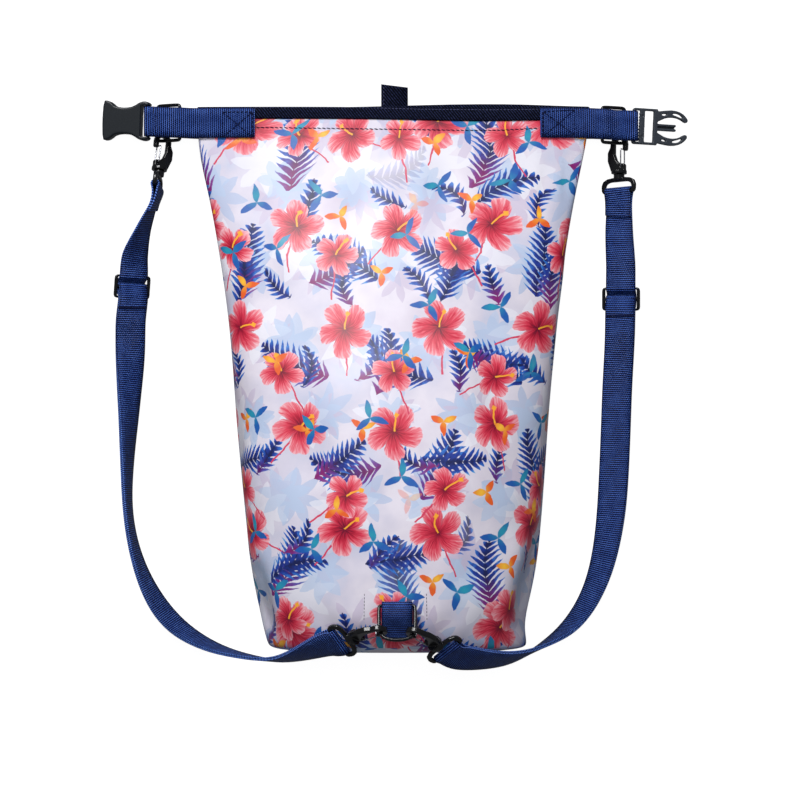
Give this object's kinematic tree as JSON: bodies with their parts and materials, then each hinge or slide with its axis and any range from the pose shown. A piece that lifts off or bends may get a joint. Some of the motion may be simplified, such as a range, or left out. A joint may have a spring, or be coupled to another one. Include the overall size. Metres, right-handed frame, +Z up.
{
  "type": "dry bag backpack",
  "caption": "Soft roll-top dry bag with webbing shoulder straps on snap hooks, strap sliders and an open side-release buckle, lying on its back.",
  "frame": {"origin": "middle of the flat back of the bag, on the surface that it lies on", "axes": "+Z up out of the printed front, +Y from the base to the mouth, +X to the right seen from the front"},
  "size_m": [0.4927, 0.4886, 0.1362],
  "materials": {
    "printed_fabric": "printed satin coated fabric",
    "binding_tape": "dark ribbed tape",
    "webbing": "ribbed navy webbing",
    "black_plastic": "moulded acetal",
    "gate_wire": "bright drawn wire"
  },
  "bodies": {
    "bag": {"bag_body": "printed_fabric", "mouth_binding": "binding_tape", "hang_tab": "binding_tape", "tail_left": "webbing", "tail_right": "webbing", "strap_left": "webbing", "strap_right": "webbing", "base_tab": "webbing", "ring_left": "black_plastic", "ring_right": "black_plastic", "base_ring": "black_plastic", "slider_left": "black_plastic", "slider_right": "black_plastic", "buckle_female": "black_plastic", "buckle_male": "black_plastic", "hook_top_left": "black_plastic", "eye_top_left": "black_plastic", "hook_top_right": "black_plastic", "eye_top_right": "black_plastic", "hook_low_left": "black_plastic", "eye_low_left": "black_plastic", "hook_low_right": "black_plastic", "eye_low_right": "black_plastic"},
    "gate_top_left": {"gate_top_left": "gate_wire"},
    "gate_top_right": {"gate_top_right": "gate_wire"},
    "gate_low_left": {"gate_low_left": "gate_wire"},
    "gate_low_right": {"gate_low_right": "gate_wire"}
  },
  "joints": [
    {"name": "gate_top_left_hinge", "type": "hinge", "parent": "bag", "child": "gate_top_left", "pos_m": [-0.1984, 0.18197, 0.01537], "axis": [-0.5505, -0.1503, -0.8212], "range_deg": [0, 18], "stiffness_Nm_per_rad": 0.01},
    {"name": "gate_top_right_hinge", "type": "hinge", "parent": "bag", "child": "gate_top_right", "pos_m": [0.19296, 0.17897, 0.01259], "axis": [-0.5296, 0.0949, 0.8429], "range_deg": [0, 18], "stiffness_Nm_per_rad": 0.01},
    {"name": "gate_low_left_hinge", "type": "hinge", "parent": "bag", "child": "gate_low_left", "pos_m": [-0.02516, -0.20988, 0.11561], "axis": [0.0285, -0.9175, 0.3967], "range_deg": [0, 18], "stiffness_Nm_per_rad": 0.01},
    {"name": "gate_low_right_hinge", "type": "hinge", "parent": "bag", "child": "gate_low_right", "pos_m": [0.02835, -0.21388, 0.11464], "axis": [0.2013, 0.9005, -0.3856], "range_deg": [0, 18], "stiffness_Nm_per_rad": 0.01}
  ]
}
